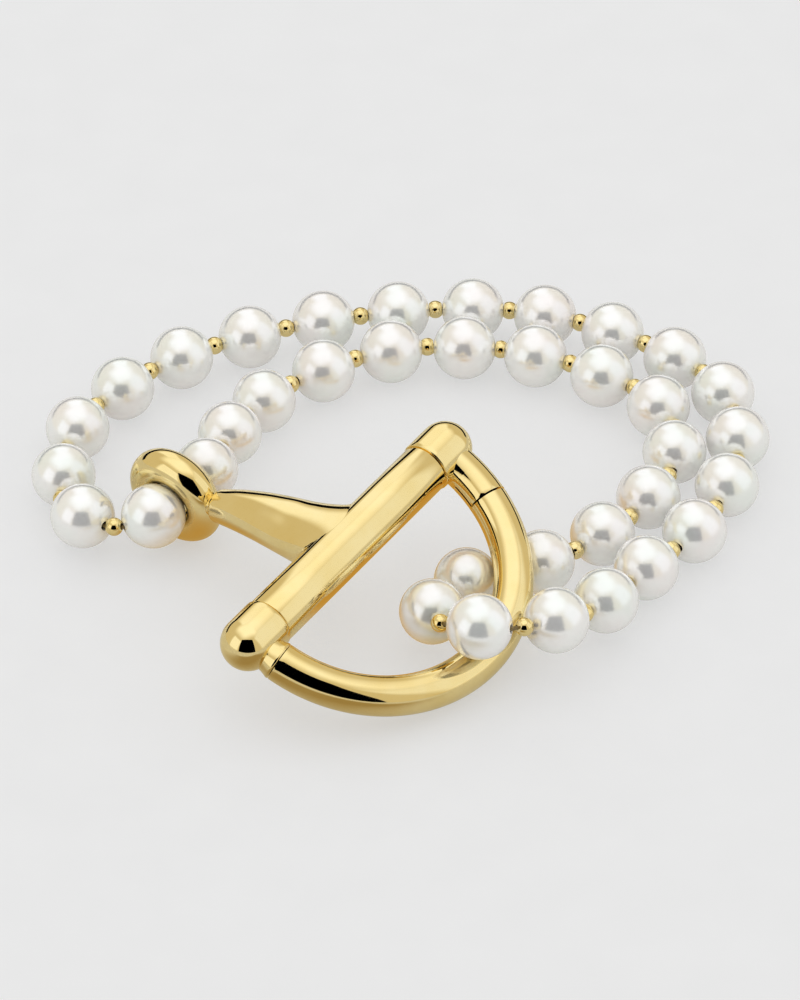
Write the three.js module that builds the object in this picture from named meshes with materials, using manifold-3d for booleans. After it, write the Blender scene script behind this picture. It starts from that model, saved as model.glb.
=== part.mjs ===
// A horsebit bracelet: one endless string of pearls, doubled round the wrist. One fold of the string is
// threaded through the eye ring at the end of a tapering stem, and the other fold is hooked through a
// D-shaped ring whose round side is a hinged gate. Stem and ring swivel on one common bar.
// Millimetres, +Z up, lying on z = 0.
import * as THREE from "three";
import { mergeVertices } from "three/addons/utils/BufferGeometryUtils.js";
import Module from "manifold-3d";

const wasm = await Module();
wasm.setup();

// ---------------------------------------------------------------- driving dimensions

// How the bar lies: its middle, the heading of its upper end, and how much that end rises.
const BAR_MIDDLE = [-5.5, -16.8, 11.0];
const BAR_HEADING_DEG = 53;
const BAR_RISE_DEG = 7;
// The D and the stem both slope down from the bar, each turned about it by its own angle.
const D_SLOPE_DEG = 24.5;
const STEM_SLOPE_DEG = -12.4;

// The bar: a rod through the stem's sleeve, with a domed cap on each end.
const ROD_RADIUS = 1.4;
const SLEEVE_RADIUS = 2.7;
const SLEEVE_BORE = 1.7;
const SLEEVE_HALF_LENGTH = 13.6;
const CAP_RADIUS = 2.95;
const CAP_START = 13.8;
const CAP_DOME_AT = 17;

// The D: half as wide as D_HALF_WIDTH, a short straight off each cap and then half an ellipse.
const D_HALF_WIDTH = 16.6;
const D_STRAIGHT = 1.9;
const D_BELLY = 16.8;
const BOW_RADIUS = 2.15;
const COLLAR_RADIUS = 1.95;
const COLLAR_END = 3.7;

// The gate's hinge: two half laps, measured along the D's centre line from the bar, with a pin between.
const LAP_START = 3.8;
const LAP_END = 7.2;
const PIN_AT = 5.5;
const PIN_RADIUS = 0.55;
const PIN_HALF_LENGTH = 1.3;
const PIN_PLAY = 0.15;
const SEAM = 0.2;

// The stem: widths of its oval section at distances from the bar's axis.
//   along, half_width, half_thickness
const STEM_SECTIONS = [
  [0.4, 6.2, 2.2],
  [1.9, 5.6, 2.4],
  [2.7, 4.8, 2.5],
  [4.0, 4.2, 2.5],
  [6.5, 3.85, 2.5],
  [9.0, 3.45, 2.45],
  [12.0, 2.95, 2.35],
  [15.0, 2.4, 2.15],
  [17.5, 1.9, 1.85],
  [20.2, 1.5, 1.5],
];

// The eye ring: a torus whose hole lies along the bar.
const EYE_DISTANCE = 24.4;
const EYE_RADIUS = 4.1;
const EYE_WIRE = 1.68;

// The string: drilled pearls with a small round bead between each two.
const PEARL_SIDES = 12;
const PEARL_FLAT = 3.41; // from the centre to the middle of a facet
const PEARL_BANDS = 7;
const DRILLED_SHARE = 0.12; // the part of the half circle from end to end that the two drill holes take
const THREAD_RADIUS = 0.25;
const SPACER_SIDES = 10;
// The spacer bead's profile: distance from its middle along the thread, and its radius there.
//   along, radius
const SPACER_PROFILE = [
  [-0.5, 0.3],
  [-0.35, 0.7],
  [0, 0.9],
  [0.35, 0.7],
  [0.5, 0.3],
];

// Where each pearl lies, in stringing order from just behind the eye ring: once round the inner turn,
// under the D, up inside it, over the D, and back round the outer turn to just before the eye ring.
//   x, y, lift (height above the place where it would rest on the surface)
const PEARL_SEATS = [
  [-21.0, 2.0, 2.7],
  [-18.6, 9.9, 1.5],
  [-15.0, 17.2, 0.3],
  [-8.5, 22.9, 0.05],
  [-1.0, 26.4, 0],
  [7.2, 27.1, 0],
  [15.1, 25.6, 0],
  [22.4, 22.0, 0],
  [28.5, 16.5, 0],
  [30.0, 8.4, 0],
  [26.9, 0.5, 0],
  [21.8, -5.8, 0],
  [15.2, -10.6, 0.05],
  [7.1, -13.7, 0.15],
  [3.4, -20.9, 1.8],
  [8.3, -27.8, 5.5],
  [16.4, -24.5, 3.6],
  [21.8, -18.5, 1.3],
  [26.3, -11.8, 0.3],
  [31.7, -5.3, 0.05],
  [35.5, 2.6, 0],
  [37.0, 10.8, 0],
  [35.7, 18.9, 0],
  [30.6, 25.2, 0],
  [23.8, 29.8, 0],
  [16.3, 33.0, 0],
  [8.2, 34.2, 0],
  [-0.2, 33.6, 0],
  [-8.6, 31.9, 0],
  [-16.8, 29.1, 0],
  [-24.3, 25.3, 0],
  [-30.7, 19.7, 0],
  [-35.4, 12.6, 0],
  [-36.6, 4.3, 0.05],
  [-34.2, -3.6, 0.8],
  [-26.5, -5.1, 2.0],
];

const UP = new THREE.Vector3(0, 0, 1);
const radians = THREE.MathUtils.degToRad;

// ---------------------------------------------------------------- finishes

const PEARL_GLASS = new THREE.MeshStandardMaterial({ color: 0xf3f1ea, roughness: 0.25, metalness: 0 });
const POLISHED_GOLD = new THREE.MeshStandardMaterial({ color: 0xe6c069, roughness: 0.12, metalness: 1 });
const SPACER_GOLD = new THREE.MeshStandardMaterial({ color: 0xd9ab4e, roughness: 0.18, metalness: 1 });

// ---------------------------------------------------------------- solids

// A closed geometry as a solid that can be joined and cut, after an optional placing matrix.
function solidOf(geometry, matrix = new THREE.Matrix4()) {
  const bare = geometry.index ? geometry.toNonIndexed() : geometry.clone();
  bare.deleteAttribute("normal");
  bare.deleteAttribute("uv");
  const merged = mergeVertices(bare.applyMatrix4(matrix), 1e-4);
  return new wasm.Manifold(
    new wasm.Mesh({
      numProp: 3,
      vertProperties: merged.attributes.position.array,
      triVerts: new Uint32Array(merged.index.array),
    }),
  );
}

// A finished solid as a named mesh.
function meshOf(name, solid, material) {
  const { vertProperties, triVerts } = solid.getMesh();
  const geometry = new THREE.BufferGeometry()
    .setAttribute("position", new THREE.BufferAttribute(vertProperties, 3))
    .setIndex(new THREE.BufferAttribute(triVerts, 1));
  geometry.computeVertexNormals();
  return named(name, geometry, material);
}

function named(name, geometry, material) {
  const mesh = new THREE.Mesh(geometry, material);
  mesh.name = name;
  return mesh;
}

// A solid turned about the Y axis from [radius, height] rows, listed upwards.
function turned(rows, sides, matrix) {
  const profile = rows.map(([radius, height]) => new THREE.Vector2(radius, height));
  return solidOf(new THREE.LatheGeometry(profile, sides), matrix);
}

// A matrix that lays a piece turned about Y along X, or along Z.
const ALONG_X = new THREE.Matrix4().makeRotationZ(-Math.PI / 2);
const ALONG_Z = new THREE.Matrix4().makeRotationX(Math.PI / 2);

function rodOf(radius, from, to, sides, matrix) {
  return turned([[0, from], [radius, from], [radius, to], [0, to]], sides, matrix);
}

// ---------------------------------------------------------------- the D ring

// The D's centre line, seen from above: down a short straight, round half an ellipse, and back up.
const D_LINE = new THREE.Path()
  .moveTo(D_HALF_WIDTH, 0)
  .lineTo(D_HALF_WIDTH, -D_STRAIGHT)
  .absellipse(0, -D_STRAIGHT, D_HALF_WIDTH, D_BELLY, 0, -Math.PI, true)
  .lineTo(-D_HALF_WIDTH, 0);
const D_LENGTH = D_LINE.getLength();

// A stretch of the D's centre line, between two distances from its start.
class DStretch extends THREE.Curve {
  constructor(from, to) {
    super();
    this.from = from;
    this.to = to;
  }

  getPoint(t, target = new THREE.Vector3()) {
    const { x, y } = D_LINE.getPoint((this.from + t * (this.to - this.from)) / D_LENGTH);
    return target.set(x, y, 0);
  }
}

function roundSection(radius, sides) {
  const corners = Array.from({ length: sides }, (_, i) => {
    const angle = ((i + 0.5) / sides) * 2 * Math.PI;
    return new THREE.Vector2(radius * Math.cos(angle), radius * Math.sin(angle));
  });
  return new THREE.Shape(corners);
}

function bowTube(radius, from, to, steps) {
  const extrudePath = new DStretch(from, to);
  const options = { steps, extrudePath, bevelEnabled: false };
  return solidOf(new THREE.ExtrudeGeometry(roundSection(radius, 12), options));
}

// A block over one half of the tube, above (side 1) or below (side -1) the lap's middle plane. Its face is
// square to the D's line at a distance from the bar, and it lies ahead of (1) or behind (-1) that face.
function lapBlock(side, at, ahead) {
  const face = new DStretch(at, at + 1);
  const { x, y } = face.getPoint(0);
  const along = face.getTangent(0);
  const size = 4 * BOW_RADIUS;
  const place = new THREE.Matrix4()
    .makeTranslation(x, y, side * (size / 2 - SEAM / 2))
    .multiply(new THREE.Matrix4().makeRotationZ(Math.atan2(along.y, along.x)))
    .multiply(new THREE.Matrix4().makeTranslation((ahead * size) / 2, 0, 0));
  return solidOf(new THREE.BoxGeometry(size, size, size), place);
}

function pinRod(radius, halfLength) {
  const { x, y } = new DStretch(PIN_AT, PIN_AT + 1).getPoint(0);
  const place = new THREE.Matrix4().makeTranslation(x, y, 0).multiply(ALONG_Z);
  return rodOf(radius, -halfLength, halfLength, 12, place);
}

// The cap on one end of the bar: a short cylinder from the sleeve's seam, and a half-round dome.
function barCap() {
  const dome = Array.from({ length: 5 }, (_, i) => {
    const angle = (i / 5) * (Math.PI / 2);
    return [CAP_RADIUS * Math.cos(angle), CAP_DOME_AT + CAP_RADIUS * Math.sin(angle)];
  });
  return turned([[0, CAP_START], [CAP_RADIUS, CAP_START], ...dome, [0, CAP_DOME_AT + CAP_RADIUS]], 20, ALONG_X);
}

const PIN_HOLE = pinRod(PIN_RADIUS + PIN_PLAY, PIN_HALF_LENGTH + PIN_PLAY);

function ringFrame() {
  const cap = barCap();
  const stub = bowTube(BOW_RADIUS, 0, LAP_END, 6).subtract(lapBlock(-1, LAP_START, 1));
  const collar = bowTube(COLLAR_RADIUS, D_LENGTH - COLLAR_END, D_LENGTH, 3);
  return rodOf(ROD_RADIUS, -CAP_DOME_AT, CAP_DOME_AT, 12, ALONG_X)
    .add(cap)
    .add(cap.mirror([1, 0, 0]))
    .add(stub)
    .add(collar)
    .subtract(PIN_HOLE);
}

function ringGate() {
  return bowTube(BOW_RADIUS, LAP_START + SEAM, D_LENGTH - COLLAR_END - SEAM, 34)
    .subtract(lapBlock(1, LAP_END + SEAM, -1))
    .subtract(PIN_HOLE);
}

// ---------------------------------------------------------------- the stem with its sleeve and eye ring

// The stem's trumpet: a turned body whose round sections are then flattened into ovals.
function stemTrumpet() {
  const rows = STEM_SECTIONS.map(([along, halfWidth]) => new THREE.Vector2(halfWidth, along));
  const first = new THREE.Vector2(0, rows[0].y);
  const last = new THREE.Vector2(0, rows[rows.length - 1].y);
  const body = new THREE.LatheGeometry([first, ...rows, last], 18);
  const points = body.attributes.position;
  for (let i = 0; i < points.count; i++) {
    const [, width, thickness] = STEM_SECTIONS.find(([along]) => Math.abs(along - points.getY(i)) < 1e-3);
    points.setZ(i, (points.getZ(i) * thickness) / width);
  }
  return solidOf(body);
}

function stemLink() {
  const sleeve = rodOf(SLEEVE_RADIUS, -SLEEVE_HALF_LENGTH, SLEEVE_HALF_LENGTH, 24, ALONG_X);
  const bore = rodOf(SLEEVE_BORE, -SLEEVE_HALF_LENGTH - 1, SLEEVE_HALF_LENGTH + 1, 16, ALONG_X);
  const eyePlace = new THREE.Matrix4()
    .makeTranslation(0, EYE_DISTANCE, 0)
    .multiply(new THREE.Matrix4().makeRotationY(Math.PI / 2));
  const eye = solidOf(new THREE.TorusGeometry(EYE_RADIUS, EYE_WIRE, 12, 28), eyePlace);
  return sleeve.add(stemTrumpet()).add(eye).subtract(bore);
}

// ---------------------------------------------------------------- the string of pearls

const seats = PEARL_SEATS.map(([x, y, lift]) => new THREE.Vector3(x, y, PEARL_FLAT + lift));
const following = (list, i) => list[(i + 1) % list.length];

// Each pearl is drilled along the line between its two neighbours.
const drillings = seats.map((_, i) => {
  const before = seats[(i + seats.length - 1) % seats.length];
  return following(seats, i).clone().sub(before).normalize();
});

// The corners of a pearl's facets, out from its centre, and where its drilled ends are.
const PEARL_BAND = (Math.PI * (1 - DRILLED_SHARE)) / PEARL_BANDS;
const PEARL_CORNER = PEARL_FLAT / Math.cos(Math.PI / PEARL_SIDES) / Math.cos(PEARL_BAND / 2);
const DRILL_EDGE = (Math.PI * DRILLED_SHARE) / 2;
const PEARL_END = PEARL_CORNER * Math.cos(DRILL_EDGE);

// A drilled ball, turned about Y, with one facet facing its -Z side.
function pearlGeometry() {
  const outer = Array.from({ length: PEARL_BANDS + 1 }, (_, i) => {
    const angle = DRILL_EDGE + i * PEARL_BAND;
    return new THREE.Vector2(PEARL_CORNER * Math.sin(angle), -PEARL_CORNER * Math.cos(angle));
  });
  const flatFacing = Math.PI / PEARL_SIDES;
  return new THREE.LatheGeometry([...outer, outer[0]], PEARL_SIDES, flatFacing);
}

function pearlString() {
  const group = new THREE.Group();
  const geometry = pearlGeometry();
  seats.forEach((seat, i) => {
    const pearl = named(`pearl_${String(i + 1).padStart(2, "0")}`, geometry, PEARL_GLASS);
    const side = drillings[i].clone().cross(UP).normalize();
    const top = side.clone().cross(drillings[i]);
    pearl.position.copy(seat);
    pearl.setRotationFromMatrix(new THREE.Matrix4().makeBasis(side, drillings[i], top));
    group.add(pearl);
  });
  return group.add(named("spacer_string", spacerGeometry(), SPACER_GOLD));
}

// The thread with its spacer beads as one closed tube of changing radius: straight through each pearl,
// and out to a bead midway to the next one. Where the string bends, the bead sits towards its outer side.
function spacerGeometry() {
  const rings = [];
  seats.forEach((seat, i) => {
    const entry = seat.clone().addScaledVector(drillings[i], -PEARL_END);
    const exit = seat.clone().addScaledVector(drillings[i], PEARL_END);
    const next = following(seats, i);
    const nextEntry = next.clone().addScaledVector(following(drillings, i), -PEARL_END);
    const along = next.clone().sub(seat).normalize();
    const middle = exit.clone().lerp(nextEntry, 0.5);
    const halfway = seat.clone().lerp(next, 0.5);
    middle.addScaledVector(along, halfway.sub(middle).dot(along));
    rings.push({ centre: entry, along: drillings[i], radius: THREAD_RADIUS });
    rings.push({ centre: exit, along: drillings[i], radius: THREAD_RADIUS });
    for (const [offset, radius] of SPACER_PROFILE)
      rings.push({ centre: middle.clone().addScaledVector(along, offset), along, radius });
  });
  return closedTube(rings, SPACER_SIDES);
}

// A closed loop of round sections, each square to its own direction.
function closedTube(rings, sides) {
  const positions = [];
  const index = [];
  rings.forEach(({ centre, along, radius }, ring) => {
    const side = along.clone().cross(UP).normalize();
    const top = side.clone().cross(along);
    for (let k = 0; k < sides; k++) {
      const angle = (k / sides) * 2 * Math.PI;
      const point = centre
        .clone()
        .addScaledVector(side, radius * Math.cos(angle))
        .addScaledVector(top, radius * Math.sin(angle));
      positions.push(point.x, point.y, point.z);
      const a = ring * sides + k;
      const b = ring * sides + ((k + 1) % sides);
      const c = ((ring + 1) % rings.length) * sides + k;
      const d = ((ring + 1) % rings.length) * sides + ((k + 1) % sides);
      index.push(a, c, b, b, c, d);
    }
  });
  const geometry = new THREE.BufferGeometry();
  geometry.setAttribute("position", new THREE.Float32BufferAttribute(positions, 3));
  geometry.setIndex(index);
  geometry.computeVertexNormals();
  return geometry;
}

// ---------------------------------------------------------------- assembly

function horsebit() {
  const bar = new THREE.Group();
  bar.position.set(...BAR_MIDDLE);
  bar.rotation.set(0, radians(-BAR_RISE_DEG), radians(BAR_HEADING_DEG), "ZYX");

  const ring = new THREE.Group();
  ring.rotation.x = radians(D_SLOPE_DEG);
  ring.add(meshOf("ring_frame", ringFrame(), POLISHED_GOLD));
  ring.add(meshOf("ring_gate", ringGate(), POLISHED_GOLD));
  ring.add(meshOf("hinge_pin", pinRod(PIN_RADIUS, PIN_HALF_LENGTH), POLISHED_GOLD));

  const stem = new THREE.Group();
  stem.rotation.x = radians(STEM_SLOPE_DEG);
  stem.add(meshOf("stem_link", stemLink(), POLISHED_GOLD));

  return bar.add(ring, stem);
}

const bracelet = new THREE.Group();
bracelet.name = "horsebit_bracelet";
bracelet.add(horsebit(), pearlString());

// The origin is the middle of the bracelet's box, on the surface that it lies on.
const box = new THREE.Box3().setFromObject(bracelet, true);
const middle = box.getCenter(new THREE.Vector3());
bracelet.position.set(-middle.x, -middle.y, -box.min.z);

export default new THREE.Group().add(bracelet);
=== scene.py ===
"""A double-turn pearl bracelet on a mirror-polished gold horsebit, lying on a pale studio floor.

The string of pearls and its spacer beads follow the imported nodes' own places. The horsebit is rebuilt in
the frame of its bar, in millimetres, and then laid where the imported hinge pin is.
"""

import logging
import math
from dataclasses import dataclass
from enum import Enum
from typing import Iterable, Sequence

import bmesh
import bpy
from mathutils import Matrix, Vector


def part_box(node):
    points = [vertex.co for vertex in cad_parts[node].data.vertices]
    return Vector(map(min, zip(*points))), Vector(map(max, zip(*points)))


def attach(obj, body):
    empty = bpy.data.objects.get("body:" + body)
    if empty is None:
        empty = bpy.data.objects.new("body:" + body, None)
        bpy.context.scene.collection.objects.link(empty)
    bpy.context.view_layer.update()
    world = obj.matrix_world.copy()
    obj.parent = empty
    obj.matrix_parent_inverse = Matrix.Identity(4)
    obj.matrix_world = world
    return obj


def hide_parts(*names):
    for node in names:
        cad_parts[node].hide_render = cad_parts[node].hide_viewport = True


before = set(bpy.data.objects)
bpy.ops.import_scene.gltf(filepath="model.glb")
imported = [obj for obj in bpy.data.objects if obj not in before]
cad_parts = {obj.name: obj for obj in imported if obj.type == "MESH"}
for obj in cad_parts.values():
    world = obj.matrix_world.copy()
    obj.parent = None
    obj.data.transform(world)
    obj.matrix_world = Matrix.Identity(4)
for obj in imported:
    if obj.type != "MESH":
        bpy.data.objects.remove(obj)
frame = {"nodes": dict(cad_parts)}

log = logging.getLogger("bracelet")

MM = 0.001
UP = Vector((0.0, 0.0, 1.0))

# Lays a piece that is turned about its own Z along the bar, which is the X of the horsebit's frame.
ALONG_BAR = Matrix.Rotation(math.pi / 2, 4, "Y")

Row = tuple[float, ...]


class Half(Enum):
    """Which part of the round tube a stretch of the D keeps at the hinge's half lap."""

    WHOLE = 0
    UPPER = 1
    LOWER = -1


# ---------------------------------------------------------------- finishes


def linear(hex_colour: str) -> tuple[float, float, float, float]:
    """Turns an sRGB hex colour into linear light.

    Args:
        hex_colour: Six hex digits, with or without a leading #.

    Returns:
        Red, green, blue and an alpha of 1.
    """
    digits = hex_colour.lstrip("#")
    parts = [int(digits[i : i + 2], 16) / 255 for i in (0, 2, 4)]
    light = [c / 12.92 if c <= 0.04045 else ((c + 0.055) / 1.055) ** 2.4 for c in parts]
    return (light[0], light[1], light[2], 1.0)


def add_node(
    tree: bpy.types.NodeTree, kind: str, settings: dict | None = None, links: dict | None = None
) -> bpy.types.Node:
    """Adds one node with its settings and links.

    Args:
        tree: The node tree it goes in.
        kind: The node's type, such as ShaderNodeTexNoise.
        settings: Attribute names, or input names or numbers, with the value of each.
        links: Input names or numbers, with the output socket that each is fed from.

    Returns:
        The new node.
    """
    node = tree.nodes.new(kind)
    for name, value in (settings or {}).items():
        if isinstance(name, int) or name in node.inputs:
            node.inputs[name].default_value = value
        else:
            setattr(node, name, value)
    for name, source in (links or {}).items():
        tree.links.new(source, node.inputs[name])
    return node


def ramp(
    tree: bpy.types.NodeTree, factor: bpy.types.NodeSocket, stops: Sequence[tuple[float, str]]
) -> bpy.types.Node:
    """Adds a colour ramp.

    Args:
        tree: The node tree it goes in.
        factor: The socket that drives it.
        stops: Positions from 0 to 1, each with its sRGB hex colour.

    Returns:
        The ramp node.
    """
    node = add_node(tree, "ShaderNodeValToRGB", links={"Fac": factor})
    elements = node.color_ramp.elements
    while len(elements) < len(stops):
        elements.new(0.5)
    for element, (position, colour) in zip(elements, stops):
        element.position = position
        element.color = linear(colour)
    return node


def bare_material(name: str) -> tuple[bpy.types.Material, bpy.types.NodeTree, bpy.types.Node]:
    """Makes a node material with an empty Principled shader.

    Args:
        name: The material's name.

    Returns:
        The material, its tree and its shader.
    """
    material = bpy.data.materials.new(name)
    material.use_nodes = True
    tree = material.node_tree
    tree.nodes.clear()
    shader = add_node(tree, "ShaderNodeBsdfPrincipled")
    output = add_node(tree, "ShaderNodeOutputMaterial")
    tree.links.new(shader.outputs["BSDF"], output.inputs["Surface"])
    return material, tree, shader


@dataclass(frozen=True)
class PolishedGoldPlate:
    """Brass, cast and buffed to a mirror, then plated with pale yellow gold.

    The buffing leaves a very slight unevenness, so long reflections waver a little, and handling leaves
    patches that are a shade less sharp.
    """

    name: str = "polished_gold_plate"
    colour: str = "#F8E9B9"
    deeper: str = "#F5E3AC"
    roughness_low: float = 0.035
    roughness_high: float = 0.085
    waver_mm: float = 7.0
    waver_strength: float = 0.010
    patch_mm: float = 5.0
    patch_from: float = 0.35
    patch_to: float = 0.7

    def build(self) -> bpy.types.Material:
        """Builds the finish.

        Returns:
            The finished material.
        """
        material, tree, shader = bare_material(self.name)
        place = add_node(tree, "ShaderNodeTexCoord").outputs["Object"]
        patches = add_node(
            tree,
            "ShaderNodeTexNoise",
            {"Scale": 1 / (self.patch_mm * MM), "Detail": 4.0, "Roughness": 0.6},
            {"Vector": place},
        ).outputs["Fac"]
        tint = ramp(tree, patches, [(self.patch_from, self.colour), (self.patch_to, self.deeper)])
        tree.links.new(tint.outputs["Color"], shader.inputs["Base Color"])
        polish = add_node(
            tree,
            "ShaderNodeMapRange",
            {
                "From Min": self.patch_from,
                "From Max": self.patch_to,
                "To Min": self.roughness_low,
                "To Max": self.roughness_high,
            },
            {"Value": patches},
        )
        tree.links.new(polish.outputs["Result"], shader.inputs["Roughness"])
        waver = add_node(
            tree,
            "ShaderNodeTexNoise",
            {"Scale": 1 / (self.waver_mm * MM), "Detail": 1.0},
            {"Vector": place},
        ).outputs["Fac"]
        bump = add_node(
            tree,
            "ShaderNodeBump",
            {"Strength": self.waver_strength, "Distance": self.waver_mm * MM},
            {"Height": waver},
        )
        tree.links.new(bump.outputs["Normal"], shader.inputs["Normal"])
        shader.inputs["Metallic"].default_value = 1.0
        return material


@dataclass(frozen=True)
class PearlLacquer:
    """Glass pearls dipped in layers of pearl lacquer: creamy white under a soft metallic lustre.

    The layers mirror the room softly, so a dark window shows as a blurred grey square, and they split the
    light a little, which leaves faint rose and green clouds.
    """

    name: str = "pearl_lacquer_on_glass"
    cream: str = "#FDFDFC"
    rose: str = "#FCF9F8"
    green: str = "#F9FCF9"
    cloud_mm: float = 4.5
    lustre: float = 0.41
    roughness: float = 0.20
    coat: float = 0.15
    coat_roughness: float = 0.15
    grain_mm: float = 0.35
    grain_depth: float = 0.2
    grain_strength: float = 0.03

    def build(self) -> bpy.types.Material:
        """Builds the finish.

        Returns:
            The finished material.
        """
        material, tree, shader = bare_material(self.name)
        place = add_node(tree, "ShaderNodeTexCoord").outputs["Object"]
        clouds = add_node(
            tree,
            "ShaderNodeTexNoise",
            {"Scale": 1 / (self.cloud_mm * MM), "Detail": 2.0, "Roughness": 0.5},
            {"Vector": place},
        ).outputs["Fac"]
        tint = ramp(tree, clouds, [(0.3, self.rose), (0.5, self.cream), (0.7, self.green)])
        tree.links.new(tint.outputs["Color"], shader.inputs["Base Color"])
        grain = add_node(
            tree,
            "ShaderNodeTexNoise",
            {"Scale": 1 / (self.grain_mm * MM), "Detail": 2.0},
            {"Vector": place},
        ).outputs["Fac"]
        bump = add_node(
            tree,
            "ShaderNodeBump",
            {"Strength": self.grain_strength, "Distance": self.grain_mm * MM * self.grain_depth},
            {"Height": grain},
        )
        tree.links.new(bump.outputs["Normal"], shader.inputs["Normal"])
        shader.inputs["Metallic"].default_value = self.lustre
        shader.inputs["Roughness"].default_value = self.roughness
        shader.inputs["Coat Weight"].default_value = self.coat
        shader.inputs["Coat Roughness"].default_value = self.coat_roughness
        return material


@dataclass(frozen=True)
class ElasticCord:
    """Clear elastic bead cord, drawn smooth. Its gold-brown colours are painted: a painted reflection of
    the gold beads in the clear cord, and painted shade in the gaps.
    """

    name: str = "clear_elastic_cord"
    # Painted reflection of the gold beads and painted shade, in place of the clear cord's own colour.
    colour: str = "#9C8A62"
    shade: str = "#84734F"
    streak_mm: float = 0.4
    roughness: float = 0.35

    def build(self) -> bpy.types.Material:
        """Builds the finish.

        Returns:
            The finished material.
        """
        material, tree, shader = bare_material(self.name)
        place = add_node(tree, "ShaderNodeTexCoord").outputs["Object"]
        streaks = add_node(
            tree, "ShaderNodeTexNoise", {"Scale": 1 / (self.streak_mm * MM)}, {"Vector": place}
        ).outputs["Fac"]
        tint = ramp(tree, streaks, [(0.3, self.colour), (0.7, self.shade)])
        tree.links.new(tint.outputs["Color"], shader.inputs["Base Color"])
        shader.inputs["Roughness"].default_value = self.roughness
        return material


@dataclass(frozen=True)
class StudioPaper:
    """Matt translucent paper on a light table, with a faint cloudiness from its fibres.

    The light from below fills the shadows, so only the places near a touching pearl stay dark.
    """

    name: str = "matt_paper"
    colour: str = "#999999"
    fibre: str = "#979797"
    fibre_mm: float = 1.2
    lit_from_below: float = 0.545

    def build(self) -> bpy.types.Material:
        """Builds the finish.

        Returns:
            The finished material.
        """
        material, tree, shader = bare_material(self.name)
        place = add_node(tree, "ShaderNodeTexCoord").outputs["Object"]
        fibres = add_node(
            tree, "ShaderNodeTexNoise", {"Scale": 1 / (self.fibre_mm * MM)}, {"Vector": place}
        ).outputs["Fac"]
        tint = ramp(tree, fibres, [(0.3, self.colour), (0.7, self.fibre)])
        tree.links.new(tint.outputs["Color"], shader.inputs["Base Color"])
        shader.inputs["Roughness"].default_value = 1.0
        shader.inputs["Specular IOR Level"].default_value = 0.0
        shader.inputs["Emission Color"].default_value = linear("#FFFFFF")
        shader.inputs["Emission Strength"].default_value = self.lit_from_below
        return material


@dataclass(frozen=True)
class PanelCloth:
    """Diffuser cloth, black flock, or a glowing patch of painted light or painted shade for the table, on
    a flat panel, fading out towards the panel's edges.
    """

    name: str
    glow: float
    feather: float
    colour: str = "#FFFFFF"

    def build(self) -> bpy.types.Material:
        """Builds the finish, which reads the panel's own coordinates from -0.5 to 0.5.

        Returns:
            The finished material.
        """
        material = bpy.data.materials.new(self.name)
        material.use_nodes = True
        tree = material.node_tree
        tree.nodes.clear()
        place = add_node(tree, "ShaderNodeTexCoord").outputs["Object"]
        reach = add_node(tree, "ShaderNodeVectorMath", {"operation": "ABSOLUTE"}, {0: place}).outputs[0]
        edge = 0.5
        full = edge - self.feather / 2
        # A vector's range has its own inputs, which come after those of a number and share their names.
        vector, from_min, from_max = 6, 7, 8
        fade = add_node(
            tree,
            "ShaderNodeMapRange",
            {
                "data_type": "FLOAT_VECTOR",
                "interpolation_type": "SMOOTHSTEP",
                from_min: (edge, edge, 1.0),
                from_max: (full, full, 0.0),
            },
            {vector: reach},
        ).outputs[1]
        sides = add_node(tree, "ShaderNodeSeparateXYZ", links={"Vector": fade}).outputs
        cover = add_node(tree, "ShaderNodeMath", {"operation": "MULTIPLY"}, {0: sides["X"], 1: sides["Y"]})
        glow = add_node(tree, "ShaderNodeEmission", {"Color": linear(self.colour), "Strength": self.glow})
        clear = add_node(tree, "ShaderNodeBsdfTransparent")
        mix = add_node(
            tree,
            "ShaderNodeMixShader",
            links={0: cover.outputs[0], 1: clear.outputs[0], 2: glow.outputs[0]},
        )
        output = add_node(tree, "ShaderNodeOutputMaterial")
        tree.links.new(mix.outputs[0], output.inputs["Surface"])
        return material


# ---------------------------------------------------------------- shaping


@dataclass
class Ring:
    """One closed outline of a loft."""

    verts: list[bmesh.types.BMVert]
    edges: list[bmesh.types.BMEdge]


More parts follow.
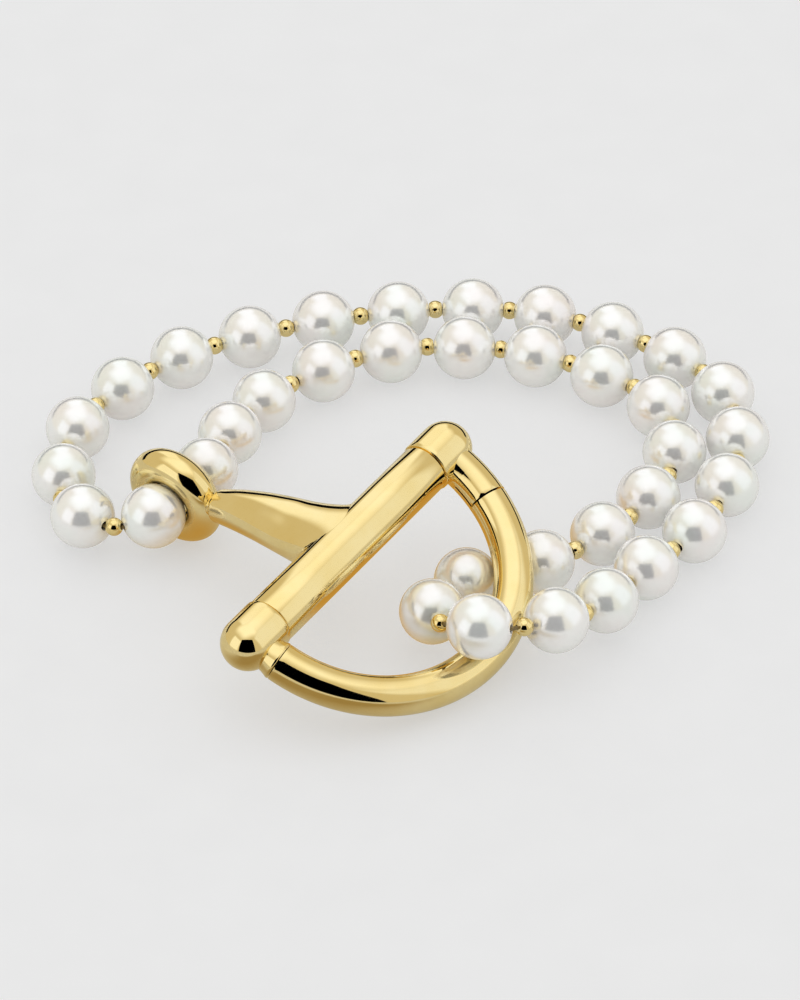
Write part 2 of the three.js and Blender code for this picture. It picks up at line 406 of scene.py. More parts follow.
class Workpiece:
    """A mesh shaped in millimetres in the frame of its own part, and then laid in the bracelet's frame."""

    weld_within: float = 1e-4
    sliver: float = 1e-5
    crease_deg: float = 38.0

    def __init__(self) -> None:
        """Starts an empty mesh."""
        self.bm = bmesh.new()

    def turn(self, rows: Sequence[Row], place: Matrix, steps: int, closed: bool = False) -> None:
        """Turns a profile about its own Z.

        Args:
            rows: Radius and height of each corner, in order.
            place: Where the turned piece goes.
            steps: Faces round the piece.
            closed: Whether the profile closes on itself.
        """
        verts = [self.bm.verts.new((row[0], 0.0, row[1])) for row in rows]
        pairs = list(zip(verts, verts[1:] + verts[:1] if closed else verts[1:]))
        edges = [self.bm.edges.new(pair) for pair in pairs]
        before = set(self.bm.verts) - set(verts)
        bmesh.ops.spin(
            self.bm,
            geom=verts + edges,
            axis=(0, 0, 1),
            cent=(0, 0, 0),
            angle=2 * math.pi,
            steps=steps,
            use_merge=True,
            use_duplicate=False,
        )
        made = [v for v in self.bm.verts if v not in before]
        bmesh.ops.transform(self.bm, matrix=place, verts=made)

    def ring(self, place: Matrix, half_width: float, half_thickness: float, sides: int) -> Ring:
        """Adds one oval outline.

        Args:
            place: The outline's frame, with its plane square to the frame's Z.
            half_width: Half its size along the frame's X.
            half_thickness: Half its size along the frame's Y.
            sides: How many corners it has.

        Returns:
            The outline.
        """
        shape = place @ Matrix.Diagonal((half_width, half_thickness, 1.0, 1.0))
        verts = bmesh.ops.create_circle(self.bm, segments=sides, radius=1.0, matrix=shape)["verts"]
        return Ring(verts, list({edge for vert in verts for edge in vert.link_edges}))

    def loft(self, rings: Sequence[Ring], closed: bool = False) -> None:
        """Skins a row of outlines.

        Args:
            rings: The outlines, in order.
            closed: Whether the last joins the first. Otherwise both ends are filled.
        """
        following = list(rings[1:]) + ([rings[0]] if closed else [])
        for a, b in zip(rings, following):
            bmesh.ops.bridge_loops(self.bm, edges=a.edges + b.edges)
        if not closed:
            for end in (rings[0], rings[-1]):
                bmesh.ops.contextual_create(self.bm, geom=end.edges)

    def weld(self) -> None:
        """Merges doubled corners and turns every face outwards."""
        bmesh.ops.remove_doubles(self.bm, verts=self.bm.verts, dist=self.weld_within)
        bmesh.ops.dissolve_degenerate(self.bm, edges=self.bm.edges, dist=self.sliver)
        bmesh.ops.recalc_face_normals(self.bm, faces=self.bm.faces)

    def break_edges(self, width: float, sharper_than_deg: float = 50.0, segments: int = 2) -> None:
        """Rounds every sharp edge.

        Args:
            width: How far back from the edge the rounding starts.
            sharper_than_deg: The angle between two faces from which their edge counts as sharp.
            segments: Faces across the rounding.
        """
        self.weld()
        limit = math.radians(sharper_than_deg)
        sharp = [e for e in self.bm.edges if len(e.link_faces) == 2 and e.calc_face_angle() > limit]
        bmesh.ops.bevel(
            self.bm,
            geom=sharp,
            offset=width,
            offset_type="OFFSET",
            affect="EDGES",
            segments=segments,
            profile=0.5,
            material=-1,
            clamp_overlap=True,
        )

    def finish(self, name: str, material: bpy.types.Material, place: Matrix) -> bpy.types.Object:
        """Lays the piece in the bracelet's frame and makes it an object.

        Args:
            name: The piece's name.
            material: Its finish.
            place: The part's frame in the bracelet's, both in millimetres.

        Returns:
            The object, at the origin, with its place in its mesh.
        """
        self.weld()
        bmesh.ops.transform(self.bm, matrix=Matrix.Scale(MM, 4) @ place, verts=self.bm.verts)
        mesh = bpy.data.meshes.new(name)
        self.bm.to_mesh(mesh)
        self.bm.free()
        mesh.polygons.foreach_set("use_smooth", [True] * len(mesh.polygons))
        mesh.set_sharp_from_angle(angle=math.radians(self.crease_deg))
        mesh.materials.append(material)
        piece = bpy.data.objects.new(name, mesh)
        bpy.context.scene.collection.objects.link(piece)
        return piece


def dress(piece: bpy.types.Object, nodes: Iterable[str] = ()) -> None:
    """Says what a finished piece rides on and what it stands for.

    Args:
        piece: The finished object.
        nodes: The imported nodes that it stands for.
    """
    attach(piece, "root")
    names = list(nodes)
    if names:
        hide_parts(*names)
    log.info("%s: %d faces", piece.name, len(piece.data.polygons))


def between(p: float, q: float, r: float, s: float, t: float) -> float:
    """Works out a value on the smooth curve from one number to the next.

    Args:
        p: The number before the stretch.
        q: The number it starts from.
        r: The number it ends at.
        s: The number after the stretch.
        t: How far along the stretch the value lies, from 0 to 1.

    Returns:
        The value on the Catmull-Rom cubic through the four.
    """
    square = (2 * p - 5 * q + 4 * r - s) * t * t
    cube = (3 * q - p - 3 * r + s) * t**3
    return 0.5 * (2 * q + (r - p) * t + square + cube)


def eased(rows: Sequence[Row], count: int) -> list[Row]:
    """Draws a smooth curve through the rows of a table.

    Args:
        rows: Rows of numbers, in order.
        count: How many rows come back for each stretch between two.

    Returns:
        The rows, with smooth ones between them.
    """
    smooth: list[Row] = []
    last = len(rows) - 1
    for i in range(last):
        before, a, b, after = rows[max(i - 1, 0)], rows[i], rows[i + 1], rows[min(i + 2, last)]
        for step in range(count):
            t = step / count
            smooth.append(tuple(between(p, q, r, s, t) for p, q, r, s in zip(before, a, b, after)))
    smooth.append(tuple(rows[-1]))
    return smooth


def basis(side: Vector, top: Vector, along: Vector, at: Vector) -> Matrix:
    """Returns the frame whose X, Y and Z are side, top and along, at a place."""
    turn = Matrix((side, top, along)).transposed().to_4x4()
    return Matrix.Translation(at) @ turn


# ---------------------------------------------------------------- the string of pearls


@dataclass(frozen=True)
class Gap:
    """The gap between two pearls: the cord leaves one, runs through a bead and enters the next."""

    exit_hole: Vector
    leaving: Vector
    middle: Vector
    along: Vector
    entry_hole: Vector
    entering: Vector


@dataclass
class PearlString:
    """The endless string: drilled pearls, a round gold bead between each two, and the cord through them.

    Each pearl is drilled along the line between its neighbours, and each bead sits midway between two
    drill holes. A bead is made shorter where the gap has less room. Sizes are in millimetres.
    """

    pearl_radius: float = 3.5
    drill_radius: float = 0.42
    rim: float = 0.12
    hole_shown: float = 0.72
    bands: int = 36
    sides: int = 64
    bead_radius: float = 1.0
    bead_half_length: float = 0.93
    bead_play: float = 0.02
    bead_hole_play: float = 0.04
    bead_bands: int = 12
    bead_sides: int = 28
    cord_radius: float = 0.22
    cord_in_pearl: float = 2.0
    cord_in_bead: float = 0.5
    cord_sides: int = 10
    node_prefix: str = "pearl_"

    def lay(self, nodes: Iterable[str]) -> None:
        """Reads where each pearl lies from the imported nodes.

        Args:
            nodes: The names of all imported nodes.
        """
        self.names = sorted(name for name in nodes if name.startswith(self.node_prefix))
        self.seats: list[Vector] = []
        for name in self.names:
            low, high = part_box(name)
            middle = (low + high) / (2 * MM)
            self.seats.append(Vector((middle.x, middle.y, max(middle.z, self.pearl_radius))))
        count = len(self.seats)
        self.drillings = [
            (self.seats[(i + 1) % count] - self.seats[i - 1]).normalized() for i in range(count)
        ]

    def pearl_profile(self) -> list[Row]:
        """Works out the drilled ball's profile, from inside one drill hole round to inside the other.

        Returns:
            Radius and height of each corner.
        """
        edge = math.asin((self.drill_radius + self.rim) / self.pearl_radius)
        rows: list[Row] = []
        for i in range(self.bands + 1):
            angle = edge + i / self.bands * (math.pi - 2 * edge)
            rows.append((self.pearl_radius * math.sin(angle), -self.pearl_radius * math.cos(angle)))
        mouth = self.pearl_radius * math.cos(edge)
        lip = [(self.drill_radius, mouth - self.rim), (self.drill_radius, mouth - self.hole_shown)]
        return [(r, -z) for r, z in reversed(lip)] + rows + lip

    def bead_profile(self, half_length: float) -> list[Row]:
        """Works out a spacer bead's profile: a ball, flat at its two ends, with a hole through it.

        Args:
            half_length: Half the distance between its two ends.

        Returns:
            Radius and height of each corner.
        """
        edge = math.acos(half_length / self.bead_radius)
        hole = self.cord_radius + self.bead_hole_play
        rows: list[Row] = [(hole, -half_length)]
        for i in range(self.bead_bands + 1):
            angle = edge + i / self.bead_bands * (math.pi - 2 * edge)
            rows.append((self.bead_radius * math.sin(angle), -self.bead_radius * math.cos(angle)))
        return rows + [(hole, half_length)]

    def frame_at(self, at: Vector, along: Vector) -> Matrix:
        """Returns the frame at a place with its Z along the cord."""
        side = along.cross(UP).normalized()
        return basis(side, along.cross(side), along, at)

    def gaps(self) -> list[Gap]:
        """Works out the gap after each pearl.

        Returns:
            The gaps, in stringing order.
        """
        found = []
        count = len(self.seats)
        for i, seat in enumerate(self.seats):
            onward = self.seats[(i + 1) % count]
            leaving = self.drillings[i]
            entering = self.drillings[(i + 1) % count]
            exit_hole = seat + leaving * self.pearl_radius
            entry_hole = onward - entering * self.pearl_radius
            along = (onward - seat).normalized()
            middle = (exit_hole + entry_hole) / 2
            middle += along * ((seat + onward) / 2 - middle).dot(along)
            found.append(Gap(exit_hole, leaving, middle, along, entry_hole, entering))
        return found

    def cord_stops(self, gap: Gap) -> list[tuple[Vector, Vector]]:
        """Works out the cord's way across a gap, from inside one pearl to inside the next.

        Args:
            gap: The gap.

        Returns:
            Each place that the cord passes, with its direction there.
        """
        return [
            (gap.exit_hole - gap.leaving * self.cord_in_pearl, gap.leaving),
            (gap.exit_hole, gap.leaving),
            (gap.middle - gap.along * self.cord_in_bead, gap.along),
            (gap.middle + gap.along * self.cord_in_bead, gap.along),
            (gap.entry_hole, gap.entering),
            (gap.entry_hole + gap.entering * self.cord_in_pearl, gap.entering),
        ]

    def build(
        self, pearl: bpy.types.Material, gold: bpy.types.Material, cord: bpy.types.Material
    ) -> None:
        """Builds every pearl, the beads and the cord.

        Args:
            pearl: The pearls' finish.
            gold: The beads' finish.
            cord: The cord's finish.
        """
        ball = self.pearl_profile()
        for name, seat, drilling in zip(self.names, self.seats, self.drillings):
            work = Workpiece()
            work.turn(ball, Matrix.Identity(4), self.sides)
            dress(work.finish(f"{name}_ball", pearl, self.frame_at(seat, drilling)), [name])
        beads = Workpiece()
        thread = Workpiece()
        rings = []
        for gap in self.gaps():
            room = (gap.entry_hole - gap.exit_hole).dot(gap.along) / 2 - self.bead_play
            bead = self.bead_profile(min(room, self.bead_half_length))
            beads.turn(bead, self.frame_at(gap.middle, gap.along), self.bead_sides, closed=True)
            for at, direction in self.cord_stops(gap):
                place = self.frame_at(at, direction)
                rings.append(thread.ring(place, self.cord_radius, self.cord_radius, self.cord_sides))
        thread.loft(rings, closed=True)
        still = Matrix.Identity(4)
        dress(beads.finish("spacer_beads", gold, still), ["spacer_string"])
        dress(thread.finish("elastic_cord_in_beads", cord, still))


# ---------------------------------------------------------------- the horsebit


@dataclass
class DLine:
    """The D's centre line: a short straight off one cap, half an ellipse, a straight to the other cap."""

    half_width: float = 16.6
    straight: float = 1.9
    belly: float = 16.8
    samples: int = 2000
    probe: float = 0.02

    def __post_init__(self) -> None:
        """Measures the line once, so that places on it can be found by their distance from the bar."""
        self.points = [Vector((self.half_width, 0, 0))]
        for i in range(self.samples + 1):
            angle = -math.pi * i / self.samples
            x = self.half_width * math.cos(angle)
            self.points.append(Vector((x, self.belly * math.sin(angle) - self.straight, 0)))
        self.points.append(Vector((-self.half_width, 0, 0)))
        self.marks = [0.0]
        for a, b in zip(self.points, self.points[1:]):
            self.marks.append(self.marks[-1] + (b - a).length)
        self.length = self.marks[-1]

    def at(self, distance: float) -> Vector:
        """Finds a place on the line.

        Args:
            distance: How far along the line it is from the line's start.

        Returns:
            The place.
        """
        distance = min(max(distance, 0.0), self.length)
        low, high = 0, len(self.marks) - 1
        while high - low > 1:
            middle = (low + high) // 2
            low, high = (middle, high) if self.marks[middle] <= distance else (low, middle)
        share = (distance - self.marks[low]) / (self.marks[high] - self.marks[low])
        return self.points[low].lerp(self.points[high], share)

    def frame(self, distance: float) -> Matrix:
        """Returns the tube's frame at a distance: X outwards from the D, Y up, Z along the line."""
        along = (self.at(distance + self.probe) - self.at(distance - self.probe)).normalized()
        return basis(UP.cross(along), UP, along, self.at(distance))


@dataclass
class Horsebit:
    """The hardware: a stem and a D ring that swivel on one bar.

    Sizes are in millimetres. Places on the D are distances from the bar, along the D's centre line.
    """

    gold: bpy.types.Material

    heading_deg: float = 53.0
    rise_deg: float = 7.0
    d_slope_deg: float = 24.5
    stem_slope_deg: float = -12.4

    rod_radius: float = 1.4
    rod_play: float = 0.3
    rod_in_cap: float = 0.4
    rod_sides: int = 48

    sleeve_radius: float = 2.8
    sleeve_half_length: float = 13.68
    sleeve_lip: float = 0.16
    sleeve_lip_corner: float = 0.05
    sleeve_sides: int = 144

    cap_radius: float = 2.94
    cap_start: float = 13.76
    cap_lip: float = 0.12
    cap_lip_corner: float = 0.04
    cap_band: float = 0.6
    cap_dome_at: float = 17.25
    cap_dome_blend: float = 0.4
    cap_dome_bands: int = 24
    cap_sides: int = 96

    bow_root: float = 0.4
    bow_radius: float = 2.15
    bow_sides: int = 72
    lap_start: float = 3.8
    lap_end: float = 7.2
    pin_at: float = 5.5
    seam: float = 0.2
    stub_round: float = 0.07
    gate_gap: float = 0.07
    gate_round: float = 0.17
    gate_round_faces: int = 4

    # The collar that the gate closes on: distance from the bar, and radius. It is waisted, and flares out
    # to the gate.
    collar_end: float = 3.7
    collar_rows: tuple[Row, ...] = (
        (bow_root, 1.88),
        (1.9, 1.88),
        (2.5, 1.92),
        (2.9, 1.99),
        (3.2, 2.08),
        (3.4, 2.15),
        (3.5, 2.17),
        (3.6, 2.16),
        (collar_end, 2.10),
    )
    collar_eased: int = 4
    collar_step: float = 0.2
    collar_round: float = 0.04

    eye_distance: float = 24.4
    eye_radius: float = 3.86
    eye_wire: float = 1.92
    eye_sides: int = 128
    eye_wire_sides: int = 48

    stem_sides: int = 96
    stem_eased: int = 6

    # The stem, as its oval outlines grow out of the sleeve, down to the rounded shoulder and the narrow
    # neck that are let into the eye ring.
    #   distance from the bar, half width, half thickness,
    #   flat (0 lies on the sleeve's round, 1 is a plane square to the stem),
    #   squareness (2 is an ellipse, more is boxier), lift above the stem's own line
    stem_rows: tuple[Row, ...] = (
        (2.80, 4.66, 2.78, 0.00, 3.00, 0.00),
        (2.92, 4.42, 2.78, 0.03, 2.95, 0.00),
        (3.25, 4.22, 2.77, 0.12, 2.85, 0.00),
        (3.80, 4.06, 2.74, 0.28, 2.70, 0.00),
        (4.60, 3.93, 2.70, 0.50, 2.50, 0.00),
        (5.60, 3.80, 2.64, 0.72, 2.35, 0.03),
        (6.90, 3.64, 2.57, 0.90, 2.20, 0.12),
        (9.00, 3.38, 2.48, 1.00, 2.08, 0.34),
        (12.0, 2.92, 2.34, 1.00, 2.00, 0.52),
        (15.0, 2.40, 2.12, 1.00, 2.00, 0.48),
        (17.2, 2.00, 1.90, 1.00, 2.00, 0.30),
        (17.9, 1.88, 1.80, 1.00, 2.00, 0.24),
        (18.2, 1.74, 1.66, 1.00, 2.00, 0.20),
        (18.35, 1.52, 1.44, 1.00, 2.00, 0.18),
        (18.45, 1.34, 1.28, 1.00, 2.00, 0.17),
        (18.7, 1.24, 1.20, 1.00, 2.00, 0.14),
        (20.2, 1.24, 1.20, 1.00, 2.00, 0.00),
    )

    def lay(self) -> None:
        """Finds the bar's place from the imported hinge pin, which lies on the D's line."""
        self.line = DLine()
        turn = Matrix.Rotation(math.radians(self.heading_deg), 4, "Z") @ Matrix.Rotation(
            math.radians(-self.rise_deg), 4, "Y"
        )
        tilt = Matrix.Rotation(math.radians(self.d_slope_deg), 4, "X")
        low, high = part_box("hinge_pin")
        pin = (low + high) / (2 * MM)
        middle = pin - turn @ tilt @ self.line.at(self.pin_at)
        bar = Matrix.Translation(middle) @ turn
        self.ring_place = bar @ tilt
        self.stem_place = bar @ Matrix.Rotation(math.radians(self.stem_slope_deg), 4, "X")

    def bow(self, work: Workpiece, stops: Sequence[tuple[float, float, Half]], step: float = 0.5) -> None:
        """Adds a stretch of the D's tube.

        Args:
            work: The piece it is added to.
            stops: Distance from the bar, radius and kept half at each change, in order.
            step: The longest distance between two outlines.
        """
        rings = []
        for (start, first, half), (end, last, _) in zip(stops, stops[1:]):
            count = max(1, round((end - start) / step))
            for i in range(count + 1):
                share = i / count
                radius = first + (last - first) * share
                place = self.line.frame(start + (end - start) * share)
                rings.append(self.kept(work.ring(place, radius, radius, self.bow_sides), place, half))
        work.loft(rings)

    def kept(self, ring: Ring, place: Matrix, half: Half) -> Ring:
        """Presses a round outline flat at the lap's middle plane.

        Args:
            ring: The outline.
            place: Its frame.
            half: The half that is kept.

        Returns:
            The same outline.
        """
        if half is not Half.WHOLE:
            for vert in ring.verts:
                own = place.inverted() @ vert.co
                height = max(own.y * half.value, self.seam / 2) * half.value
                vert.co = place @ Vector((own.x, height, own.z))
        return ring

    def cap_profile(self) -> list[Row]:
        """Works out one end cap's profile: a short cylinder with a rounded lip, and a half-round dome.

        Returns:
            Radius and height of each corner.
        """
        radius, start, dome_at = self.cap_radius, self.cap_start, self.cap_dome_at
        rows: list[Row] = [
            (self.rod_radius, start),
            (radius - self.cap_lip, start),
            (radius - self.cap_lip_corner, start + self.cap_lip_corner),
            (radius, start + self.cap_lip),
            (radius, start + self.cap_band),
            (radius, dome_at - self.cap_dome_blend),
        ]
        for i in range(self.cap_dome_bands + 1):
            angle = i / self.cap_dome_bands * math.pi / 2
            rows.append((radius * math.cos(angle), dome_at + radius * math.sin(angle)))
        return rows

    def build_bar(self) -> None:
        """Builds the rod with a domed cap on each of its ends."""
        work = Workpiece()
        profile = self.cap_profile()
        work.turn(profile, ALONG_BAR, self.cap_sides)
        work.turn([(radius, -height) for radius, height in profile], ALONG_BAR, self.cap_sides)
        end = self.cap_start + self.rod_in_cap
        rod = [(0, -end), (self.rod_radius, -end), (self.rod_radius, end), (0, end)]
        work.turn(rod, ALONG_BAR, self.rod_sides)
        bar = work.finish("bar_with_domed_caps", self.gold, self.ring_place)
        dress(bar, ["ring_frame"])

    def build_stub(self) -> None:
        """Builds the D's short stub, with the hinge's upper lap."""
        work = Workpiece()
        stops = [
            (self.bow_root, self.bow_radius, Half.WHOLE),
            (self.lap_start, self.bow_radius, Half.UPPER),
            (self.lap_end, self.bow_radius, Half.UPPER),
        ]
        self.bow(work, stops)
        work.break_edges(self.stub_round)
        dress(work.finish("hinge_stub", self.gold, self.ring_place))

    def build_collar(self) -> None:
        """Builds the collar that the gate closes on."""
        work = Workpiece()
        rows = reversed(eased(self.collar_rows, self.collar_eased))
        stops = [(self.line.length - distance, radius, Half.WHOLE) for distance, radius in rows]
        self.bow(work, stops, self.collar_step)
        work.break_edges(self.collar_round)
        dress(work.finish("gate_collar", self.gold, self.ring_place))

    def build_gate(self) -> None:
        """Builds the D's hinged round side, with the hinge's lower lap at its upper end."""
        work = Workpiece()
        stops = [
            (self.lap_start + self.seam, self.bow_radius, Half.LOWER),
            (self.lap_end + self.seam, self.bow_radius, Half.WHOLE),
            (self.line.length - self.collar_end - self.gate_gap, self.bow_radius, Half.WHOLE),
        ]
        self.bow(work, stops)
        work.break_edges(self.gate_round, segments=self.gate_round_faces)
        dress(work.finish("hinged_gate", self.gold, self.ring_place), ["ring_gate"])

    def stem_ring(self, work: Workpiece, row: Row) -> Ring:
        """Adds one outline of the stem, bent round the sleeve where it grows out of it.

        Args:
            work: The piece it is added to.
            row: Its row of stem_rows, or one eased between two.

        Returns:
            The outline.
        """
        along, width, thickness, flat, squareness, lift = row
        place = Matrix.Translation((0, along, 0)) @ Matrix.Rotation(-math.pi / 2, 4, "X")
        ring = work.ring(place, width, thickness, self.stem_sides)
        for vert in ring.verts:
            for axis, half in ((0, width), (2, thickness)):
                share = min(abs(vert.co[axis]) / half, 1.0)
                vert.co[axis] = math.copysign(half * share ** (2 / squareness), vert.co[axis])
            round_here = math.sqrt(max(self.sleeve_radius**2 - vert.co.z**2, 0.0))
            vert.co.y -= (1 - flat) * (self.sleeve_radius - round_here)
            vert.co.z += lift
        return ring

    def build_sleeve(self) -> None:
        """Builds the sleeve that swivels on the rod."""
        work = Workpiece()
        radius, end = self.sleeve_radius, self.sleeve_half_length
        lip = [
            (radius, end - self.sleeve_lip),
            (radius - self.sleeve_lip_corner, end - self.sleeve_lip_corner),
            (radius - self.sleeve_lip, end),
            (self.rod_radius + self.rod_play, end),
        ]
        near_lip = [(r, -height) for r, height in reversed(lip)]
        barrel = [(radius, -end / 2), (radius, 0), (radius, end / 2)]
        work.turn(near_lip + barrel + lip, ALONG_BAR, self.sleeve_sides, closed=True)
        dress(work.finish("bar_sleeve", self.gold, self.stem_place), ["stem_link"])

    def build_stem(self) -> None:
        """Builds the stem that flares out of the sleeve, down to its neck in the eye ring."""
        work = Workpiece()
        rings = [self.stem_ring(work, row) for row in eased(self.stem_rows, self.stem_eased)]
        work.loft(rings)
        dress(work.finish("tapered_stem", self.gold, self.stem_place))

    def build_eye(self) -> None:
        """Builds the round eye ring at the stem's end."""
        work = Workpiece()
        wire: list[Row] = []
        for i in range(self.eye_wire_sides):
            angle = 2 * math.pi * i / self.eye_wire_sides
            radius = self.eye_radius + self.eye_wire * math.cos(angle)
            wire.append((radius, self.eye_wire * math.sin(angle)))
        place = Matrix.Translation((0, self.eye_distance, 0)) @ ALONG_BAR
        work.turn(wire, place, self.eye_sides, closed=True)
        dress(work.finish("eye_ring", self.gold, self.stem_place))

    def build(self) -> None:
        """Builds all of the hardware in one finish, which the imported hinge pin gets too."""
        self.build_bar()
        self.build_stub()
        self.build_collar()
        self.build_gate()
        self.build_sleeve()
        self.build_stem()
        self.build_eye()
        pin = frame["nodes"]["hinge_pin"]
        pin.data.materials.clear()
        pin.data.materials.append(self.gold)


# ---------------------------------------------------------------- the studio


@dataclass(frozen=True)
class Panel:
    """A studio panel that stands round the bracelet, facing it.

    Azimuths count from straight behind the bracelet, towards the right.
    """

    name: str
    azimuth_deg: float
    elevation_deg: float
    distance: float
    width: float
    height: float
    glow: float
    feather: float


@dataclass(frozen=True)
class Flag:
    """An upright black card that faces along Y and shows only in reflections."""

    name: str
    middle: tuple[float, float, float]
    width: float
    height: float
    feather: float


@dataclass(frozen=True)
class PaintedPatch:
    """A glowing patch on the table, seen only in reflections, which paints light or shade there for the
    metal to mirror.
    """

    name: str
    colour: str
    middle: tuple[float, float]
    size: tuple[float, float]
    turn_deg: float
    feather: float


@dataclass
class Studio:
    """A pale paper floor under soft panels, and what the polished metal mirrors.

    Reflections alone show a greyer table, which is painted shade, with glowing patches of painted light
    and painted shade on it, a warm room and dark flags. Sizes are in metres, and those of the lens and the
    sensor in millimetres.
    """

    target: tuple[float, float, float] = (-0.00018, -0.00103, 0.0035)
    elevation_deg: float = 38.8
    distance: float = 0.693
    lens: float = 230.4
    sensor: float = 36.0
    nearest: float = 0.01
    farthest: float = 20.0
    floor_size: float = 6.0
    backdrop_radius: float = 2.9
    backdrop_segments: int = 48
    backdrop_rings: int = 24
    backdrop: str = "#EEEEEE"
    backdrop_glow: float = 1.0
    contrast: float = 0.75
    room: str = "#FFF6E0"
    room_glow: float = 0.76
    # The table is a greyer copy of the paper floor that only reflections show: painted shade on the floor
    # the metal mirrors. Its glow is painted light that lifts the contact shadows in those reflections.
    table: str = "#ABA8A1"
    table_glow: float = 0.33
    table_height: float = 0.00001
    spot_height: float = 0.00002
    daylight: float = 0.80
    fill_watts: float = 3.0
    fill_size: float = 1.6
    fill_height: float = 1.1
    #   name, azimuth and elevation in degrees, distance, width, height, glow, feather
    panels: tuple[Panel, ...] = (
        Panel("scrim_above", -25, 84, 0.80, 1.60, 1.50, 1.12, 0.70),
        Panel("panel_front_left", -120, 22, 0.75, 0.62, 0.66, 1.06, 0.35),
        Panel("panel_right", 100, 30, 0.75, 0.90, 1.00, 0.97, 0.40),
        Panel("panel_behind", -10, 38, 0.75, 0.52, 0.70, 1.08, 0.50),
    )
    # The two gold glows are painted light, the gold's warm light thrown onto the table under the eye and
    # the bar; shade_before_gate is painted shade. The metal mirrors them as painted reflections on its
    # undersides.
    #   name, colour, middle, size, turn in degrees, feather
    painted_patches: tuple[PaintedPatch, ...] = (
        PaintedPatch("gold_glow_under_eye", "#CDB27E", (-0.023, -0.007), (0.026, 0.020), -38, 1.0),
        PaintedPatch("gold_glow_under_bar", "#D3B06A", (0.0045, -0.0100), (0.040, 0.026), 53, 0.40),
        PaintedPatch("shade_before_gate", "#B5A480", (-0.010, -0.052), (0.075, 0.046), -20, 0.7),
    )
    #   name, middle, width, height, feather
    flags: tuple[Flag, ...] = (
        Flag("dark_opening", (-0.061, -0.56, 0.3700), 0.706, 0.740, 0.04),
        Flag("dark_horizon", (-0.050, 0.30, 0.0330), 0.900, 0.066, 0.10),
    )

    def show(
        self, bm: bmesh.types.BMesh, name: str, place: Matrix, finish: bpy.types.Material
    ) -> bpy.types.Object:
        """Makes a mesh a part of the studio.

        Args:
            bm: The mesh, in metres.
            name: The object's name.
            place: Where it stands.
            finish: Its material.

        Returns:
            The object.
        """
        mesh = bpy.data.meshes.new(name)
        bm.to_mesh(mesh)
        bm.free()
        mesh.materials.append(finish)
        thing = bpy.data.objects.new(name, mesh)
        thing.matrix_world = place
        bpy.context.scene.collection.objects.link(thing)
        return thing

    def sheet(
        self, name: str, size: tuple[float, float], place: Matrix, finish: bpy.types.Material
    ) -> bpy.types.Object:
        """Makes one flat rectangle of the studio.

        Args:
            name: The object's name.
            size: Its width and height.
            place: Where it lies or stands.
            finish: Its material.

        Returns:
            The object, whose own coordinates go from -0.5 to 0.5.
        """
        bm = bmesh.new()
        bmesh.ops.create_grid(bm, x_segments=1, y_segments=1, size=0.5)
        return self.show(bm, name, place @ Matrix.Diagonal((*size, 1, 1)), finish)

    def only_mirrored(self, thing: bpy.types.Object) -> None:
        """Lets nothing but reflections show a part of the studio.

        Args:
            thing: The object.
        """
        thing.visible_camera = False
        thing.visible_diffuse = False
        thing.visible_shadow = False

    def build_floor(self) -> None:
        """Lays the paper floor and the table that is mirrored instead, and puts the shells round them."""
        size = (self.floor_size, self.floor_size)
        floor = self.sheet("paper_floor", size, Matrix.Identity(4), StudioPaper().build())
        floor.visible_glossy = False
        # A darker, glowing copy of the floor for reflections only: painted shade, lifted by painted light.
        paper = StudioPaper(
            name="grey_table_paper", colour=self.table, fibre=self.table, lit_from_below=self.table_glow
        )
        place = Matrix.Translation((0, 0, self.table_height))
        self.only_mirrored(self.sheet("mirrored_table", size, place, paper.build()))
        for painted_patch in self.painted_patches:
            turn = Matrix.Rotation(math.radians(painted_patch.turn_deg), 4, "Z")
            place = Matrix.Translation((*painted_patch.middle, self.spot_height)) @ turn
            # Each patch glows with its painted light or painted shade, which only reflections show.
            tint = PanelCloth(f"{painted_patch.name}_tint", glow=1.0, feather=painted_patch.feather, colour=painted_patch.colour)
            self.only_mirrored(self.sheet(painted_patch.name, painted_patch.size, place, tint.build()))
        self.shell("pale_backdrop", self.backdrop, self.backdrop_glow).visible_glossy = False
        self.shell("mirrored_room", self.room, self.room_glow).visible_camera = False

    def shell(self, name: str, colour: str, glow: float) -> bpy.types.Object:
        """Makes one glowing shell round everything, which lights nothing.

        Args:
            name: The shell's name.
            colour: Its sRGB hex colour.
            glow: How brightly it shows.

        Returns:
            The shell.
        """
        bm = bmesh.new()
        bmesh.ops.create_uvsphere(
            bm,
            u_segments=self.backdrop_segments,
            v_segments=self.backdrop_rings,
            radius=self.backdrop_radius,
        )
        finish, _, shader = bare_material(name)
        shader.inputs["Base Color"].default_value = linear("#000000")
        shader.inputs["Specular IOR Level"].default_value = 0.0
        shader.inputs["Emission Color"].default_value = linear(colour)
        shader.inputs["Emission Strength"].default_value = glow
        shell = self.show(bm, name, Matrix.Identity(4), finish)
        shell.visible_diffuse = False
        shell.visible_shadow = False
        return shell

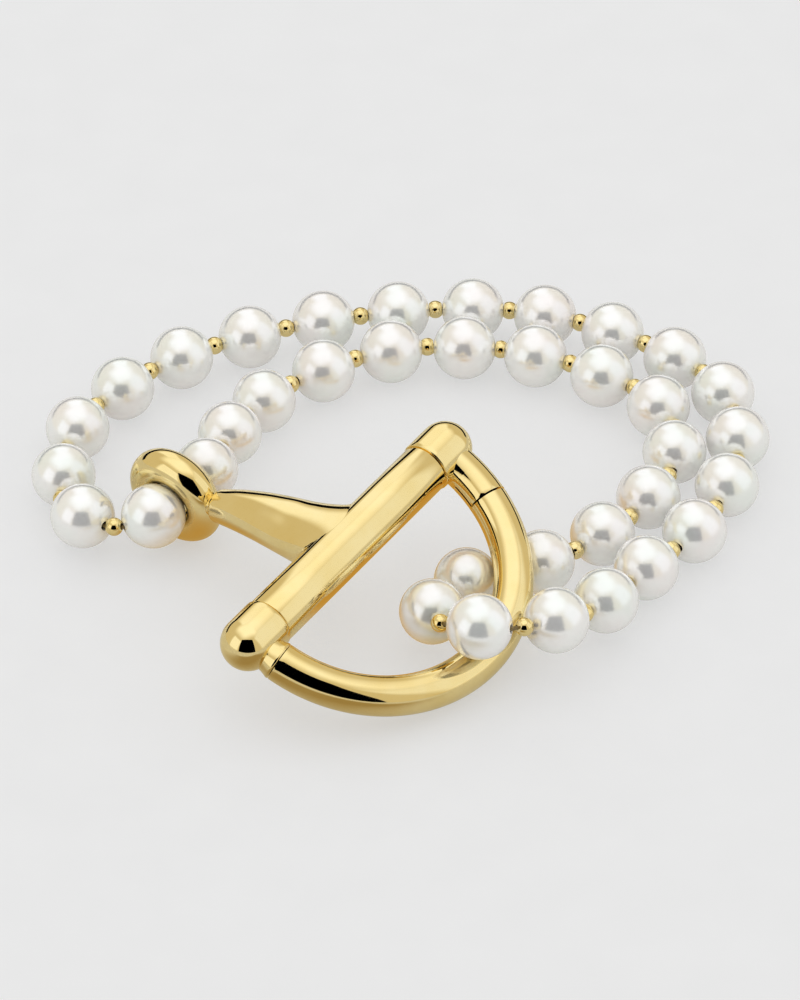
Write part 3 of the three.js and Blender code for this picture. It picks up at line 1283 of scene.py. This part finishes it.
    def build_panels(self) -> None:
        """Stands the soft panels and the dark flags round the bracelet."""
        for panel in self.panels:
            azimuth, elevation = math.radians(panel.azimuth_deg), math.radians(panel.elevation_deg)
            outward = Vector((
                math.sin(azimuth) * math.cos(elevation),
                math.cos(azimuth) * math.cos(elevation),
                math.sin(elevation),
            ))
            turn = (-outward).to_track_quat("Z", "Y").to_matrix().to_4x4()
            place = Matrix.Translation(outward * panel.distance) @ turn
            cloth = PanelCloth(f"{panel.name}_cloth", glow=panel.glow, feather=panel.feather)
            flat = self.sheet(panel.name, (panel.width, panel.height), place, cloth.build())
            flat.visible_camera = False
        for flag in self.flags:
            upright = Matrix.Translation(flag.middle) @ Matrix.Rotation(math.pi / 2, 4, "X")
            flock = PanelCloth(f"{flag.name}_flock", glow=0.0, feather=flag.feather)
            self.only_mirrored(self.sheet(flag.name, (flag.width, flag.height), upright, flock.build()))

    def build_room(self) -> None:
        """Lights the room evenly, and softens the shadows with a fill that no metal mirrors."""
        world = bpy.data.worlds.new("grey_room")
        world.use_nodes = True
        tree = world.node_tree
        tree.nodes.clear()
        white = {"Color": linear("#FFFFFF"), "Strength": self.daylight}
        glow = add_node(tree, "ShaderNodeBackground", white)
        output = add_node(tree, "ShaderNodeOutputWorld")
        tree.links.new(glow.outputs["Background"], output.inputs["Surface"])
        bpy.context.scene.world = world
        light = bpy.data.lights.new("soft_fill", "AREA")
        light.size = self.fill_size
        light.energy = self.fill_watts
        fill = bpy.data.objects.new("soft_fill", light)
        fill.location = (0, 0, self.fill_height)
        fill.visible_glossy = False
        bpy.context.scene.collection.objects.link(fill)

    def build_camera(self) -> None:
        """Sets up the camera, a long lens looking down from the front."""
        angle = math.radians(self.elevation_deg)
        back = Vector((0, -math.cos(angle), math.sin(angle)))
        data = bpy.data.cameras.new("camera")
        data.lens = self.lens
        data.sensor_width = self.sensor
        data.clip_start = self.nearest
        data.clip_end = self.farthest
        camera = bpy.data.objects.new("camera", data)
        camera.location = Vector(self.target) + back * self.distance
        camera.rotation_euler = back.to_track_quat("Z", "Y").to_euler()
        bpy.context.scene.collection.objects.link(camera)
        bpy.context.scene.camera = camera

    def build(self) -> None:
        """Builds the whole studio."""
        self.build_floor()
        self.build_panels()
        self.build_room()
        self.build_camera()
        bpy.context.scene.view_settings.view_transform = "Standard"
        bpy.context.scene.view_settings.gamma = self.contrast


def main() -> None:
    """Builds the bracelet and its studio."""
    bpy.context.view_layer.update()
    gold = PolishedGoldPlate().build()
    string = PearlString()
    string.lay(frame["nodes"])
    string.build(PearlLacquer().build(), gold, ElasticCord().build())
    hardware = Horsebit(gold)
    hardware.lay()
    hardware.build()
    Studio().build()


if __name__ == "__main__":
    logging.basicConfig(level=logging.INFO, format="%(message)s")
    main()
